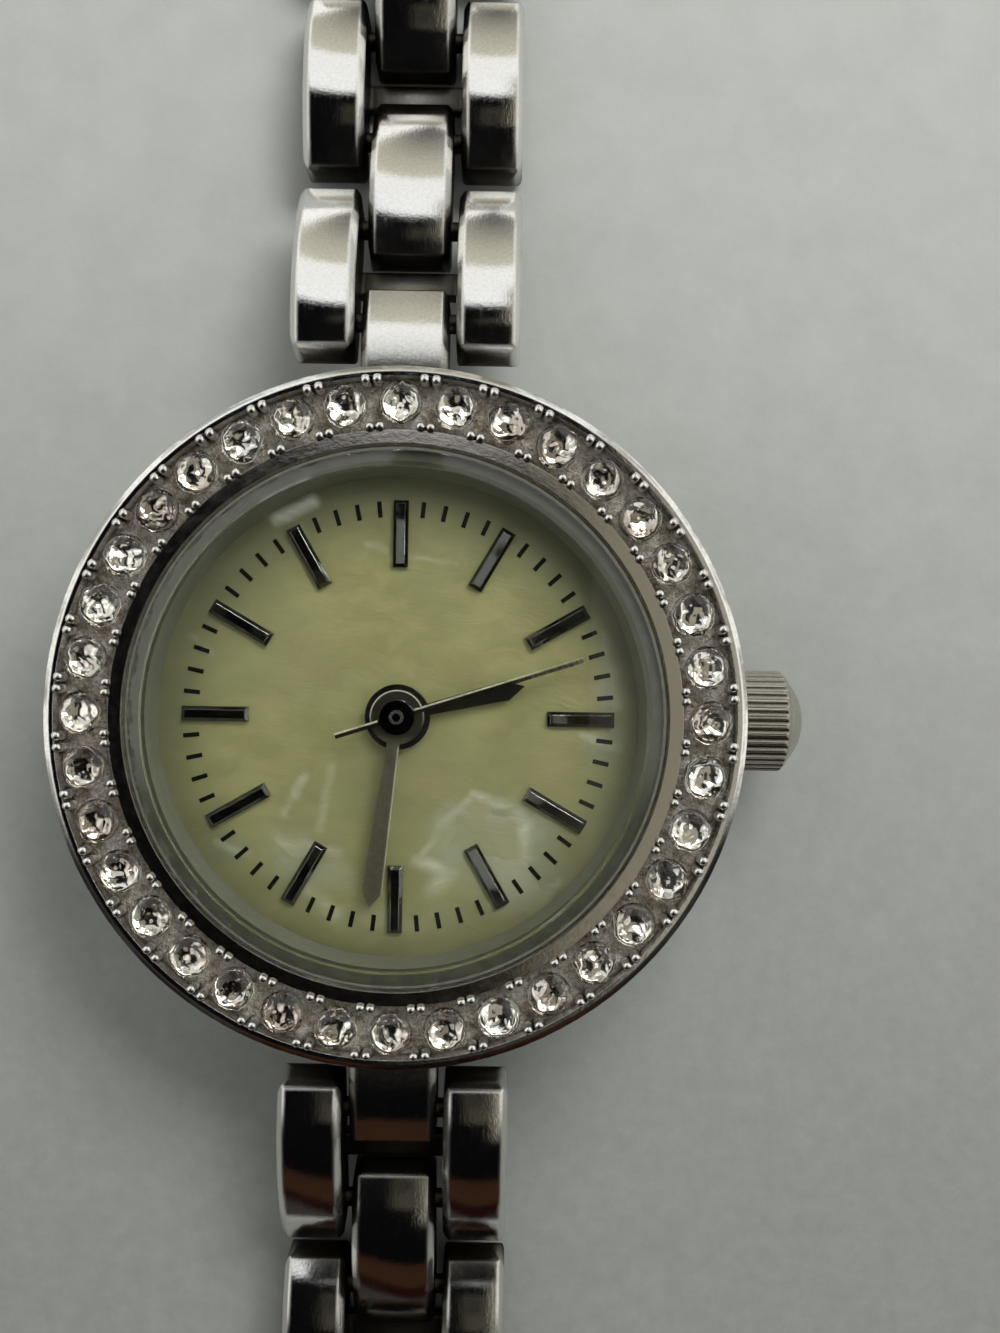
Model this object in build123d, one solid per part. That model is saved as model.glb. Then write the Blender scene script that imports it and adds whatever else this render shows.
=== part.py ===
from build123d import *
import math
import os

# Small bracelet watch with a stone-set bezel, lying open and face up on a flat surface.
# All lengths are in millimetres and all angles in degrees.
# +Z points up out of the dial, +Y to 12 o'clock and +X to the crown at 3 o'clock.
# The origin is the centre of the flat on the case back, in the plane the watch lies on.
# The bracelet lies open: the upper half runs to +Y, the lower half to -Y.

# Crystal, its gasket and the inner ring under it: the crystal sets the size of the head
crystal_radius = 9.5
crystal_gasket_wall = 0.12
crystal_gasket_height = 0.4
crystal_edge_height = 0.55
crystal_bevel_width = 0.6
crystal_bevel_height = 0.45
crystal_crown = 0.15
crystal_stand = 0.05
rehaut_foot_width = 0.9
rehaut_top_width = 0.7
rehaut_height = 1.25
rehaut_clearance = 0.02

# Bezel ring with a channel for the stones
bezel_inner_land = 0.61
bezel_outer_land = 0.36
bezel_land_drop = 0.025
bezel_edge_width = 0.2
bezel_edge_drop = 0.07
bezel_foot_bevel = 0.3
bezel_inner_bevel = 0.12
channel_width = 1.91
channel_depth = 0.75

# Stones and the small beads that hold them
stone_wall_gap = 0.095
stone_neighbour_gap = 0.232
stone_table_share = 0.56
stone_crown_height = 0.3
stone_girdle_height = 0.08
stone_stand = 0.28
stone_foot_share = 0.35
stone_sides = 8
bead_radius = 0.17
bead_bite = 0.05
bead_turn_share = 0.1
bead_stand = 0.0

# Case, in plan and in height
case_step = 0.4
case_taper = 1.0
case_swell = 0.12
case_foot_height = 0.8
case_top_height = 4.4
bore_dial_gap = 0.3

# Case back, which snaps into the bore over a gasket
back_step = 0.5
back_bevel_width = 1.8
back_edge_height = 0.35
back_rim_wall = 0.5
back_rim_depth = 0.8
back_gasket_width = 0.3
back_gasket_depth = 0.5

# Dial with applied batons and printed dashes
dial_edge_gap = 0.22
dial_thickness = 0.3
dial_hole_gap = 0.17
baton_count = 12
baton_margin = 0.89
baton_length = 2.43
baton_width = 0.54
baton_height = 0.3
baton_bevel = 0.12
dashes_per_hour = 5
dash_length = 0.59
dash_width = 0.16
dash_height = 0.02

# Hands, which show about 2:31:12
hand_thickness = 0.12
hour_hand_angle = 75.5
minute_hand_angle = 187.2
second_hand_angle = 72.0
hour_tip_gap = 0.67
hour_hand_waist = 0.3
hour_hand_width = 0.72
hour_hub_margin = 0.4
hour_hand_gap = 0.25
hour_shoulder_share = 0.86
minute_tip_gap = 0.34
minute_hand_waist = 0.4
minute_hand_width = 0.72
minute_hub_margin = 0.4
minute_hand_gap = 0.18
minute_shoulder_share = 0.92
second_tip_gap = 0.24
second_hand_tail = 2.3
second_hand_width = 0.2
second_hub_margin = 0.25
second_boss_margin = 0.13
second_boss_height = 0.14
second_boss_hole = 0.1
second_hand_gap = 0.13
second_hand_thickness = 0.08
arbor_radius = 0.13
arbor_depth = 0.9
post_wall = 0.21
post_top_drop = 0.17
pipe_wall = 0.16
hand_fit = 0.04
pipe_foot_gap = 0.05

# Movement: base plate, cover, screws, holder ring, battery and coil
plate_thickness = 1.65
plate_rim_wall = 0.39
cover_step = 0.45
cover_thickness = 0.3
cover_eye_radius = 0.55
holder_fit = 0.05
holder_wall = 1.75
holder_back_gap = 0.1
battery_height = 2.05
battery_step = 0.35
battery_clearance = 0.1
battery_wall = 0.29
battery_turn = 222.95
coil_length = 6.0
coil_radius = 0.85
core_overhang = 1.1
core_width = 0.9
core_thickness = 0.3
coil_clearance = 0.1
coil_inset = 3.29
coil_turn = 74.7
coil_tilt = -92.7
screw_head_radius = 0.5
screw_head_height = 0.22
screw_shank_radius = 0.28
screw_slot_width = 0.16
screw_grip = 0.8
screw_inset = 1.35
screw_turns = (62.0, 150.0, 285.0)

# Stem, setting lever and crown
stem_rise = 0.45
stem_radius = 0.4
stem_tail = 1.1
stem_fit = 0.04
stem_grip = 0.25
groove_depth = 0.14
groove_inset = 1.55
lever_thickness = 0.25
lever_width = 1.3
lever_height = 0.8
lever_play = 0.03
lever_pocket_margin = 0.15
crown_travel = 0.7
crown_radius = 1.88
crown_wall = 0.5
crown_barrel_length = 1.75
crown_stand_off = 0.12
crown_recess_depth = 0.95
crown_bevel = 0.2
crown_dome_step = 0.28
crown_dome_height = 0.68
crown_flutes = 36
flute_radius = 0.13
flute_depth = 0.1
tube_end_gap = 0.08
crown_gasket_length = 0.3
crown_gasket_inset = 0.08
crown_gasket_wall = 0.32
crown_gasket_fit = 0.03

# Bracelet: pairs of outer bars joined by a low plate, with centre links between the pairs
pairs_per_side = 8
bracelet_width = 8.44
centre_width = 3.1
side_gap = 0.31
pair_pitch = 4.05
centre_pitch = 4.0
pair_end_radius = 1.51
centre_end_radius = 1.5
link_drop = 0.95
pair_crown = 1.66
centre_crown = 1.5
pair_dome_radius = 6.7
centre_dome_radius = 6.6
link_bevel = 0.24
link_corner_radius = 0.6
pair_plate_length = 0.95
pair_plate_thickness = 0.5
link_pin_radius = 0.36
link_pin_fit = 0.03
link_pin_recess = 0.05

# Centre lug at each end of the case, and how the first links come down to the surface
lug_overhang = 2.1
lug_pin_drop = 0.6
lug_extra_width = 0.1
lug_end_radius = 1.22
lug_crown = 1.3
lug_dome_radius = 6.4
lug_root_share = 0.9
lug_bezel_gap = 0.06
drop_shares = (0.45, 0.43, 0.09, 0.03)

# Clasp at the free ends
clasp_length = 19.4
clasp_wall = 0.3
clasp_height = 1.4
clasp_skirt = 0.4
clasp_edge = 0.35
clasp_plate_thickness = 0.5
clasp_plate_gap = 0.1
clasp_link_gap = 0.4
clasp_hinge_inset = 1.4
clasp_hinge_height = 0.3
clasp_ear_radius = 0.6
clasp_ear_width = 0.8
clasp_pin_radius = 0.34
clasp_eye_wall = 0.18
clasp_notch_gap = 0.2
hook_setback = 3.8
hook_width = 2.0
hook_length = 0.8
hook_lip = 0.9
hook_height = 0.45
hook_lip_thickness = 0.28
catch_length = 8.5
catch_extra_width = 0.1
catch_mouth_gap = 0.2
catch_bar = 0.9
catch_play = 0.15
catch_reach_play = 0.5

# One overrun serves all cuts that have to break through a face
overrun = 0.5

# Radii of the head, from the crystal outwards and from the crystal down to the case back
bezel_bore_radius = crystal_radius + crystal_gasket_wall
channel_inner_radius = bezel_bore_radius + bezel_inner_land
channel_outer_radius = channel_inner_radius + channel_width
stone_circle_radius = channel_inner_radius + channel_width / 2
bezel_radius = channel_outer_radius + bezel_outer_land
rehaut_foot_radius = bezel_bore_radius - rehaut_foot_width
rehaut_top_radius = bezel_bore_radius - rehaut_top_width
dial_radius = bezel_bore_radius - dial_edge_gap
case_radius = bezel_radius - case_step
case_foot_radius = case_radius - case_taper
case_bore_radius = dial_radius + bore_dial_gap
back_radius = case_foot_radius - back_step
back_flat_radius = back_radius - back_bevel_width
back_rim_radius = case_bore_radius - back_gasket_width

# Stones, as many as go round the channel
stone_radius = channel_width / 2 - stone_wall_gap
stone_spacing = 2 * stone_radius + stone_neighbour_gap
stone_count = round(2 * math.pi * stone_circle_radius / stone_spacing)

# Heights of the head
dial_foot_height = case_top_height
dial_top_height = dial_foot_height + dial_thickness
crystal_foot_height = dial_top_height + rehaut_height
bezel_top_height = crystal_foot_height + crystal_edge_height - crystal_stand
bezel_height = bezel_top_height - case_top_height
channel_floor_height = bezel_top_height - channel_depth
plate_foot_height = dial_foot_height - plate_thickness
cover_foot_height = plate_foot_height - cover_thickness
holder_foot_height = case_foot_height + back_rim_depth + holder_back_gap

# Markers and hands
baton_outer_radius = rehaut_foot_radius - baton_margin
baton_inner_radius = baton_outer_radius - baton_length
dash_inner_radius = baton_outer_radius - dash_length
hour_hand_length = baton_inner_radius - hour_tip_gap
minute_hand_length = dash_inner_radius - minute_tip_gap
second_hand_length = dash_inner_radius - second_tip_gap
post_radius = arbor_radius + hand_fit + post_wall
minute_pipe_bore = post_radius + hand_fit
minute_pipe_radius = minute_pipe_bore + pipe_wall
hour_pipe_bore = minute_pipe_radius + hand_fit
hour_pipe_radius = hour_pipe_bore + pipe_wall
hour_hub_radius = hour_pipe_radius + hour_hub_margin
minute_hub_radius = minute_pipe_radius + minute_hub_margin
second_hub_radius = post_radius + second_hub_margin
second_boss_radius = arbor_radius + second_boss_margin
dial_hole_radius = hour_pipe_radius + dial_hole_gap
hour_hand_foot = dial_top_height + hour_hand_gap
minute_hand_foot = hour_hand_foot + hand_thickness + minute_hand_gap
second_hand_foot = minute_hand_foot + hand_thickness + second_hand_gap
post_top_height = minute_hand_foot + hand_thickness - post_top_drop
pipe_foot_height = dial_foot_height + pipe_foot_gap

# Movement, held in the case bore by its ring. The battery fills the room between centre and rim.
holder_radius = case_bore_radius - holder_fit
holder_bore_radius = holder_radius - holder_wall
plate_radius = holder_bore_radius - holder_fit
cover_radius = plate_radius - cover_step
battery_inner = arbor_radius + hand_fit + battery_wall + battery_clearance
battery_outer = plate_radius - plate_rim_wall - battery_clearance
battery_radius = (battery_outer - battery_inner) / 2
battery_offset = (battery_outer + battery_inner) / 2
holder_height = dial_foot_height - holder_foot_height
core_length = coil_length + 2 * core_overhang
coil_offset = plate_radius - coil_inset
screw_circle_radius = plate_radius - screw_inset

# Stem and crown
stem_height = plate_foot_height + stem_rise
groove_radius = stem_radius - groove_depth
groove_place = plate_radius - groove_inset
stem_start = groove_place - stem_tail
crown_start = bezel_radius + crown_stand_off
crown_recess_end = crown_start + crown_recess_depth
crown_barrel_end = crown_start + crown_barrel_length
crown_recess_radius = crown_radius - crown_wall
crown_dome_radius = crown_radius - crown_dome_step
tube_radius = crown_recess_radius - crown_gasket_wall - crown_gasket_fit

# Bracelet and clasp
outer_bar_inner = centre_width / 2 + side_gap
outer_bar_width = bracelet_width / 2 - outer_bar_inner
flat_pin_height = link_drop
lug_width = centre_width + lug_extra_width
lug_reach = bezel_radius + lug_overhang
lug_pin_height = case_top_height - lug_pin_drop
clasp_width = bracelet_width
clasp_plate_start = pair_end_radius + clasp_link_gap
clasp_hinge_place = clasp_plate_start + clasp_hinge_inset
tongue_length = clasp_plate_start + clasp_ear_radius
tongue_thickness = clasp_plate_thickness + link_drop
hook_place = clasp_length - hook_setback
catch_width = centre_width + catch_extra_width
clasp_mouth = catch_width + 2 * catch_mouth_gap
catch_window_width = hook_width + 2 * catch_play
catch_window_length = hook_length + hook_lip + catch_reach_play


# Small helpers


def ring(outer, inner, height, foot):
    """A flat ring about Z that stands on the height called foot."""
    tube = Cylinder(outer, height) - Cylinder(inner, height)
    return Pos(0, 0, foot + height / 2) * tube


def disc(radius, height, foot):
    """A disc about Z that stands on the height called foot."""
    return Pos(0, 0, foot + height / 2) * Cylinder(radius, height)


def turned(points):
    """A solid of revolution about Z from an outline of radius and height."""
    outline = make_face(Polyline(*points, close=True))
    return revolve(Plane.XZ * outline, Axis.Z)


def cap_arc(radius, foot, rise):
    """The half outline of a shallow dome, from its edge to its top on the axis."""
    sphere_radius = (radius**2 + rise**2) / (2 * rise)
    half_angle = math.asin(radius / sphere_radius) / 2
    between = (
        sphere_radius * math.sin(half_angle),
        foot + rise - sphere_radius * (1 - math.cos(half_angle)),
    )
    return ThreePointArc((radius, foot), between, (0, foot + rise))


def rod_x(radius, start, end, height):
    """A round rod along X between two places, at one height."""
    return Pos((start + end) / 2, 0, height) * Rot(0, 90, 0) * Cylinder(radius, end - start)


def cross_rod(radius, width):
    """A round rod along X, centred on the origin."""
    return Rot(0, 90, 0) * Cylinder(radius, width)


def block(low, high):
    """A box between two corners."""
    size = [b - a for a, b in zip(low, high)]
    middle = [(a + b) / 2 for a, b in zip(low, high)]
    return Pos(*middle) * Box(*size)


def solids_of(shape):
    """The separate solids of a shape, as a list."""
    return list(shape.solids())


def save(name, solids):
    """Write one node from its separate solids."""
    shape = solids[0] if len(solids) == 1 else Compound(children=list(solids))
    shape.label = name
    export_step(shape, f"parts/{name}.step")


# Case, back and gaskets


def case_outline():
    """Half section of the case band, with a slightly swollen flank."""
    foot = (case_foot_radius, case_foot_height)
    top = (case_radius, case_top_height)
    waist = (case_radius + case_swell, (case_foot_height + case_top_height) / 2)
    flank = ThreePointArc(foot, waist, top)
    rest = Polyline(top, (case_bore_radius, case_top_height), (case_bore_radius, case_foot_height), foot)
    return make_face([flank, rest])


def lug(side):
    """A centre lug: a short domed knuckle, whose bore takes the first bracelet pin."""
    root = case_radius * lug_root_share
    profile = link_profile(lug_reach - root, lug_end_radius, lug_crown, lug_dome_radius)
    body = Pos(0, root, lug_pin_height) * bar(profile, lug_width, 0)
    bore = Pos(0, lug_reach, lug_pin_height) * cross_rod(link_pin_radius + link_pin_fit, lug_width + overrun)
    clear = disc(bezel_radius + lug_bezel_gap, bezel_height, case_top_height)
    body = body - bore - clear
    return body if side > 0 else Rot(0, 0, 180) * body


def make_case_body():
    band = revolve(Plane.XZ * case_outline(), Axis.Z)
    tube_end = crown_recess_end - tube_end_gap
    tube = rod_x(tube_radius, case_bore_radius, tube_end, stem_height)
    hollow = disc(case_bore_radius, case_top_height, 0)
    stem_bore = rod_x(stem_radius + stem_fit, case_bore_radius - overrun, tube_end + overrun, stem_height)
    body = band + lug(1) + lug(-1) + tube - hollow - stem_bore
    return solids_of(body)


def make_case_back():
    cover = turned(
        [
            (0, 0),
            (back_flat_radius, 0),
            (back_radius, back_edge_height),
            (back_radius, case_foot_height),
            (back_rim_radius, case_foot_height),
            (back_rim_radius, case_foot_height + back_rim_depth),
            (back_rim_radius - back_rim_wall, case_foot_height + back_rim_depth),
            (back_rim_radius - back_rim_wall, case_foot_height),
            (0, case_foot_height),
        ]
    )
    return solids_of(cover)


def make_case_back_gasket():
    return solids_of(ring(case_bore_radius, back_rim_radius, back_gasket_depth, case_foot_height))


# Bezel, stones, crystal and inner ring


def bead_places():
    """Where the beads stand: two by two between stones, along both walls of the channel."""
    step = 360 / stone_count
    radii = (channel_outer_radius - bead_radius + bead_bite, channel_inner_radius + bead_radius - bead_bite)
    return [
        (radius, step * (index + 0.5) + turn)
        for index in range(stone_count)
        for radius in radii
        for turn in (-step * bead_turn_share, step * bead_turn_share)
    ]


def bead(radius, turn):
    """A bead: a short post from the channel floor with a round head."""
    head_height = bezel_top_height + bead_stand
    post = disc(bead_radius, head_height - channel_floor_height, channel_floor_height)
    head = Pos(0, 0, head_height) * Sphere(bead_radius)
    return Rot(0, 0, turn) * Pos(0, radius, 0) * (post + head)


def make_bezel():
    band = turned(
        [
            (bezel_bore_radius, case_top_height),
            (bezel_radius - bezel_foot_bevel, case_top_height),
            (bezel_radius, case_top_height + bezel_foot_bevel),
            (bezel_radius, bezel_top_height - bezel_edge_drop),
            (bezel_radius - bezel_edge_width, bezel_top_height),
            (channel_outer_radius, bezel_top_height),
            (channel_outer_radius, channel_floor_height),
            (channel_inner_radius, channel_floor_height),
            (channel_inner_radius, bezel_top_height - bezel_land_drop),
            (bezel_bore_radius + bezel_inner_bevel, bezel_top_height),
            (bezel_bore_radius, bezel_top_height - bezel_inner_bevel),
        ]
    )
    beads = [bead(radius, turn) for radius, turn in bead_places()]
    return solids_of(band.fuse(*beads))


def stone():
    """One cut stone: a flat table, sloping facets, a thin girdle and a cut foot."""
    foot_height = channel_floor_height
    girdle = bezel_top_height + stone_stand - stone_crown_height
    pavilion_height = girdle - stone_girdle_height - foot_height
    table = RegularPolygon(stone_radius * stone_table_share, stone_sides, rotation=180 / stone_sides)
    wide = RegularPolygon(stone_radius, stone_sides, major_radius=False, rotation=180 / stone_sides)
    small = RegularPolygon(stone_radius * stone_foot_share, stone_sides, rotation=180 / stone_sides)
    crown = loft([Pos(0, 0, girdle) * wide, Pos(0, 0, girdle + stone_crown_height) * table])
    belt = extrude(Pos(0, 0, girdle - stone_girdle_height) * wide, stone_girdle_height)
    pavilion = loft([Pos(0, 0, foot_height) * small, Pos(0, 0, foot_height + pavilion_height) * wide])
    body = crown + belt + pavilion
    return body & disc(stone_radius, pavilion_height + bezel_height, foot_height)


def make_bezel_stones():
    cut = Pos(0, stone_circle_radius, 0) * stone()
    return [Rot(0, 0, 360 / stone_count * index) * cut.solids()[0] for index in range(stone_count)]


def make_crystal():
    edge_top = crystal_foot_height + crystal_edge_height
    bevel_top = edge_top + crystal_bevel_height
    flat_radius = crystal_radius - crystal_bevel_width
    crown_top = bevel_top + crystal_crown
    top = cap_arc(flat_radius, bevel_top, crystal_crown)
    rest = Polyline(
        (0, crown_top),
        (0, crystal_foot_height),
        (crystal_radius, crystal_foot_height),
        (crystal_radius, edge_top),
        (flat_radius, bevel_top),
    )
    return solids_of(revolve(Plane.XZ * make_face([top, rest]), Axis.Z))


def make_crystal_gasket():
    return solids_of(ring(bezel_bore_radius, crystal_radius, crystal_gasket_height, crystal_foot_height))


def make_rehaut_ring():
    outer = bezel_bore_radius - rehaut_clearance
    section = [
        (rehaut_foot_radius, dial_top_height),
        (outer, dial_top_height),
        (outer, crystal_foot_height),
        (rehaut_top_radius, crystal_foot_height),
    ]
    return solids_of(turned(section))


# Dial and what is on it


def make_dial():
    plate = disc(dial_radius, dial_thickness, dial_foot_height)
    hole = disc(dial_hole_radius, dial_thickness + overrun, dial_foot_height - overrun / 2)
    return solids_of(plate - hole)


def make_hour_markers():
    blank = Box(baton_width, baton_length, baton_height)
    top_edges = blank.faces().sort_by(Axis.Z)[-1].edges()
    baton = chamfer(top_edges, baton_bevel)
    place = Pos(0, (baton_outer_radius + baton_inner_radius) / 2, dial_top_height + baton_height / 2)
    return [Rot(0, 0, 360 / baton_count * hour) * place * baton for hour in range(baton_count)]


def make_minute_track():
    dash = Box(dash_width, dash_length, dash_height)
    place = Pos(0, (baton_outer_radius + dash_inner_radius) / 2, dial_top_height + dash_height / 2)
    minutes = baton_count * dashes_per_hour
    marks = [minute for minute in range(minutes) if minute % dashes_per_hour]
    return [Rot(0, 0, -360 / minutes * minute) * place * dash for minute in marks]


# Hands


def lance(length, waist, width, shoulder_share):
    """A hand blade along +Y that widens to a shoulder and ends in a point."""
    shoulder = length * shoulder_share
    points = [
        (-waist / 2, 0),
        (-width / 2, shoulder),
        (0, length),
        (width / 2, shoulder),
        (waist / 2, 0),
    ]
    return extrude(make_face(Polyline(*points, close=True)), hand_thickness)


def dial_hand(blade, hub_radius, foot, pipe_radius, pipe_bore, angle):
    """A hand with its hub disc and the pipe that carries it."""
    height = foot + hand_thickness - pipe_foot_height
    pipe = disc(pipe_radius, height, pipe_foot_height)
    bore = disc(pipe_bore, height + 2 * overrun, pipe_foot_height - overrun)
    body = Pos(0, 0, foot) * blade + disc(hub_radius, hand_thickness, foot) + pipe - bore
    return solids_of(Rot(0, 0, -angle) * body)


def make_hour_hand():
    blade = lance(hour_hand_length, hour_hand_waist, hour_hand_width, hour_shoulder_share)
    return dial_hand(
        blade, hour_hub_radius, hour_hand_foot, hour_pipe_radius, hour_pipe_bore, hour_hand_angle
    )


def make_minute_hand():
    blade = lance(minute_hand_length, minute_hand_waist, minute_hand_width, minute_shoulder_share)
    return dial_hand(
        blade, minute_hub_radius, minute_hand_foot, minute_pipe_radius, minute_pipe_bore, minute_hand_angle
    )


def make_second_hand():
    length = second_hand_length + second_hand_tail
    middle = (second_hand_length - second_hand_tail) / 2
    top = second_hand_foot + second_hand_thickness
    blade = Pos(0, middle, second_hand_foot + second_hand_thickness / 2) * Box(
        second_hand_width, length, second_hand_thickness
    )
    hub = disc(second_hub_radius, second_hand_thickness, second_hand_foot)
    boss = disc(second_boss_radius, second_boss_height, top)
    boss_hole = disc(second_boss_hole, second_boss_height, top)
    arbor_foot = dial_foot_height - arbor_depth
    arbor = disc(arbor_radius, second_hand_foot - arbor_foot, arbor_foot)
    return solids_of(Rot(0, 0, -second_hand_angle) * (blade + hub + boss + arbor - boss_hole))


# Movement


def battery_place():
    return Rot(0, 0, battery_turn) * Pos(battery_offset, 0, 0)


def coil_place():
    return Rot(0, 0, coil_turn) * Pos(coil_offset, 0, plate_foot_height) * Rot(0, 0, coil_tilt)


def screw_places():
    return [Rot(0, 0, turn) * Pos(screw_circle_radius, 0, 0) for turn in screw_turns]


def lever_pocket():
    """The hollow in which the setting lever travels with the stem."""
    low_x = groove_place - lever_thickness / 2 - lever_pocket_margin
    high_x = groove_place + lever_thickness / 2 + crown_travel + lever_pocket_margin
    half = lever_width / 2 + lever_pocket_margin
    top = stem_height + lever_height / 2 + lever_pocket_margin
    return block((low_x, -half, plate_foot_height - overrun), (high_x, half, top))


def make_movement_plate():
    plate = disc(plate_radius, plate_thickness, plate_foot_height)
    post = disc(post_radius, post_top_height - dial_foot_height, dial_foot_height)
    bore_length = post_top_height + overrun - plate_foot_height
    arbor_bore = disc(arbor_radius + hand_fit, bore_length, plate_foot_height)
    pocket_depth = battery_height + case_foot_height + battery_clearance - plate_foot_height
    well = battery_place() * disc(
        battery_radius + battery_clearance, pocket_depth + overrun, plate_foot_height - overrun
    )
    coil_well = coil_place() * block(
        (-core_length / 2, -coil_radius - coil_clearance, -overrun),
        (core_length / 2, coil_radius + coil_clearance, coil_radius + coil_clearance),
    )
    half = stem_radius + stem_fit
    channel = block(
        (stem_start - overrun, -half, plate_foot_height - overrun),
        (plate_radius + overrun, half, stem_height + half),
    )
    body = plate + post - arbor_bore - well - coil_well - channel - lever_pocket()
    for place in screw_places():
        body = body - place * disc(screw_shank_radius, screw_grip, plate_foot_height)
    return solids_of(body)


def make_movement_cover():
    sheet = disc(cover_radius, cover_thickness, cover_foot_height)
    tall = cover_thickness + 2 * overrun
    battery_opening = disc(battery_radius + battery_clearance, tall, cover_foot_height - overrun)
    sheet = sheet - battery_place() * battery_opening
    sheet = sheet - coil_place() * Box(
        core_length, 2 * (coil_radius + coil_clearance), 2 * (cover_thickness + overrun)
    )
    sheet = sheet - disc(cover_eye_radius, tall, cover_foot_height - overrun)
    screws = []
    for place in screw_places():
        head = disc(screw_head_radius, screw_head_height, cover_foot_height - screw_head_height)
        slot = block(
            (-screw_head_radius, -screw_slot_width / 2, cover_foot_height - screw_head_height),
            (screw_head_radius, screw_slot_width / 2, cover_foot_height - screw_head_height / 2),
        )
        shank = disc(screw_shank_radius, cover_thickness + screw_grip, cover_foot_height)
        sheet = sheet - place * disc(screw_shank_radius, cover_thickness, cover_foot_height)
        screws += solids_of(place * (head - slot + shank))
    return solids_of(sheet) + screws


def make_movement_holder():
    foot = holder_foot_height
    body = ring(holder_radius, holder_bore_radius, holder_height, foot)
    half = stem_radius + lever_pocket_margin
    low = (holder_bore_radius - overrun, -half, foot - overrun)
    slot = block(low, (holder_radius + overrun, half, stem_height + half))
    return solids_of(body - slot)


def make_battery():
    foot = case_foot_height + battery_clearance
    can = disc(battery_radius, battery_height - battery_step, foot + battery_step)
    cap = disc(battery_radius - battery_step, battery_step, foot)
    return solids_of(battery_place() * (can + cap))


def make_coil():
    core = Box(core_length, core_width, core_thickness)
    winding = Rot(0, 90, 0) * Cylinder(coil_radius, coil_length) - core
    return solids_of(coil_place() * winding) + solids_of(coil_place() * core)


# Stem, setting lever and crown


def make_winding_stem():
    rod = rod_x(stem_radius, stem_start, crown_recess_end + stem_grip, stem_height)
    half = lever_thickness / 2 + lever_play
    waist = rod_x(stem_radius + overrun, groove_place - half, groove_place + half, stem_height)
    neck = rod_x(groove_radius, groove_place - half, groove_place + half, stem_height)
    return solids_of(rod - waist + neck)


def make_setting_lever():
    blade = Pos(groove_place, 0, stem_height) * Box(lever_thickness, lever_width, lever_height)
    fork = groove_radius + lever_play
    hole = rod_x(fork, groove_place - lever_thickness, groove_place + lever_thickness, stem_height)
    slot = block(
        (groove_place - lever_thickness, -fork, stem_height - lever_height),
        (groove_place + lever_thickness, fork, stem_height),
    )
    return solids_of(blade - hole - slot)


def make_crown():
    shell = [
        (crown_recess_radius, crown_start),
        (crown_radius, crown_start),
        (crown_radius, crown_barrel_end - crown_bevel),
        (crown_radius - crown_bevel, crown_barrel_end),
        (crown_dome_radius, crown_barrel_end),
    ]
    apex = (0, crown_barrel_end + crown_dome_height)
    side = Polyline(*shell)
    dome = cap_arc(crown_dome_radius, crown_barrel_end, crown_dome_height)
    inside = Polyline(apex, (0, crown_recess_end), (crown_recess_radius, crown_recess_end), shell[0])
    body = revolve(Plane.XZ * make_face([side, dome, inside]), Axis.Z)
    flute_place = crown_radius + flute_radius - flute_depth
    flute = Pos(flute_place, 0, crown_start + crown_barrel_length / 2) * Cylinder(
        flute_radius, crown_barrel_length + overrun
    )
    flutes = [Rot(0, 0, 360 / crown_flutes * index) * flute for index in range(crown_flutes)]
    socket = disc(stem_radius, stem_grip, crown_recess_end)
    body = body.cut(*flutes) - socket
    return solids_of(Pos(0, 0, stem_height) * Rot(0, 90, 0) * body)


def make_crown_gasket():
    start = crown_start + crown_gasket_inset
    seal = rod_x(crown_recess_radius, start, start + crown_gasket_length, stem_height)
    hole = rod_x(tube_radius + crown_gasket_fit, start, start + crown_gasket_length, stem_height)
    return solids_of(seal - hole)


# Bracelet links. A link is drawn along +Y from its first pin at the origin, with +Z as its top.


def link_profile(pitch, end_radius, crown_height, dome_radius):
    """Side outline of a link: round ends about both pins, a domed top and a flat foot."""
    ends = Circle(end_radius) + Pos(pitch, 0) * Circle(end_radius)
    middle = Pos(pitch / 2, (crown_height - link_drop) / 2) * Rectangle(pitch, crown_height + link_drop)
    dome = Pos(pitch / 2, crown_height - dome_radius) * Circle(dome_radius)
    band = Pos(pitch / 2, (crown_height - link_drop) / 2) * Rectangle(
        pitch + 2 * end_radius, crown_height + link_drop
    )
    return (ends + middle) & dome & band


def bar(profile, width, place):
    """One bar of a link with bevelled dome edges and round corners, at its place across the bracelet."""
    body = extrude(Plane.YZ * profile, width / 2, both=True)
    sides = body.faces().filter_by(Axis.X)
    dome_edges = [face.edges().sort_by(lambda edge: edge.center().Z)[-1] for face in sides]
    body = chamfer(dome_edges, link_bevel)
    reach = body.bounding_box()
    plan = RectangleRounded(width, reach.size.Y, link_corner_radius)
    middle = (reach.min.Y + reach.max.Y) / 2
    corners = extrude(Pos(0, middle, reach.min.Z) * plan, reach.size.Z)
    return Pos(place, 0, 0) * (body & corners)


def link_pin(place_along):
    width = bracelet_width - 2 * link_pin_recess
    return Pos(0, place_along, 0) * cross_rod(link_pin_radius, width)


def pair_link():
    """Two outer bars joined by a low plate, with the two pins pressed into them."""
    profile = link_profile(pair_pitch, pair_end_radius, pair_crown, pair_dome_radius)
    offset = outer_bar_inner + outer_bar_width / 2
    plate_low = (-outer_bar_inner, (pair_pitch - pair_plate_length) / 2, -link_drop)
    plate_high = (outer_bar_inner, (pair_pitch + pair_plate_length) / 2, pair_plate_thickness - link_drop)
    body = bar(profile, outer_bar_width, offset) + bar(profile, outer_bar_width, -offset)
    body = body + block(plate_low, plate_high)
    for place in (0, pair_pitch):
        body = body - Pos(0, place, 0) * cross_rod(link_pin_radius, bracelet_width + overrun)
    return solids_of(body) + solids_of(link_pin(0)) + solids_of(link_pin(pair_pitch))


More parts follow.
